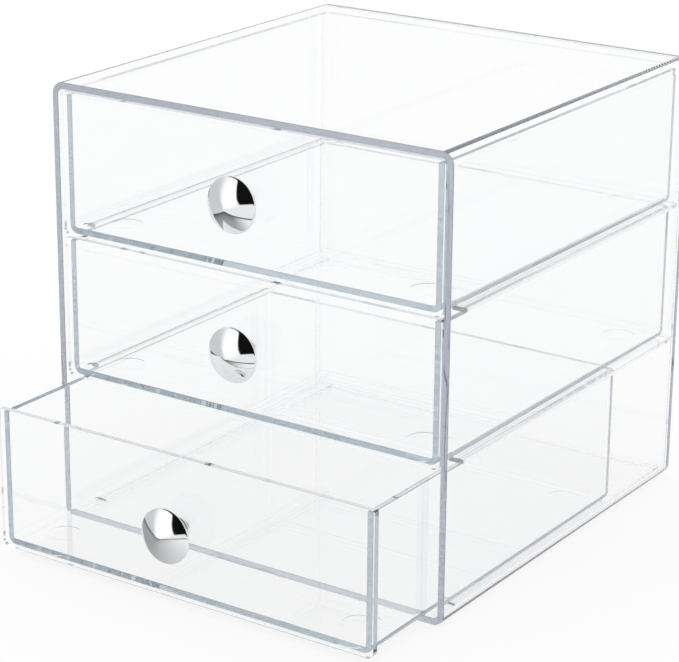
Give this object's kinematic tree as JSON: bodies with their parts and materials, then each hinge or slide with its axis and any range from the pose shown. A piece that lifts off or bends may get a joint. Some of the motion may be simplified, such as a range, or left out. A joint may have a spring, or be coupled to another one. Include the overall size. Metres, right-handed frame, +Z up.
{
  "type": "desktop drawer organizer",
  "caption": "Clear desktop organizer: a square, rounded casing with stacked full-width sliding drawers, each with a round chrome knob. Holds cosmetics and small things.",
  "frame": {"origin": "middle of the casing's underside", "axes": "+X to the right seen from the front, +Y to the back panel, +Z up; the drawers open towards -Y"},
  "size_m": [0.165, 0.2144, 0.165],
  "materials": {
    "clear_casing": "polished clear acrylic",
    "clear_runner": "polished clear acrylic strip",
    "clear_tray": "moulded clear acrylic",
    "clear_front": "polished clear acrylic",
    "knob_chrome": "mirror chrome plate",
    "screw_steel": "zinc-plated steel"
  },
  "bodies": {
    "casing": {"casing_shell": "clear_casing", "casing_back": "clear_casing", "runner_top_left": "clear_runner", "runner_top_right": "clear_runner", "runner_middle_left": "clear_runner", "runner_middle_right": "clear_runner", "runner_bottom_left": "clear_runner", "runner_bottom_right": "clear_runner"},
    "drawer_top": {"drawer_top_tray": "clear_tray", "drawer_top_front": "clear_front", "drawer_top_knob": "knob_chrome", "drawer_top_knob_screw": "screw_steel"},
    "drawer_middle": {"drawer_middle_tray": "clear_tray", "drawer_middle_front": "clear_front", "drawer_middle_knob": "knob_chrome", "drawer_middle_knob_screw": "screw_steel"},
    "drawer_bottom": {"drawer_bottom_tray": "clear_tray", "drawer_bottom_front": "clear_front", "drawer_bottom_knob": "knob_chrome", "drawer_bottom_knob_screw": "screw_steel"}
  },
  "joints": [
    {"name": "drawer_top_slide", "type": "slide", "parent": "casing", "child": "drawer_top", "axis": [0, -1, 0], "range_m": [0, 0.12]},
    {"name": "drawer_middle_slide", "type": "slide", "parent": "casing", "child": "drawer_middle", "axis": [0, -1, 0], "range_m": [0, 0.12]},
    {"name": "drawer_bottom_slide", "type": "slide", "parent": "casing", "child": "drawer_bottom", "axis": [0, -1, 0], "range_m": [-0.0385, 0.0815]}
  ]
}
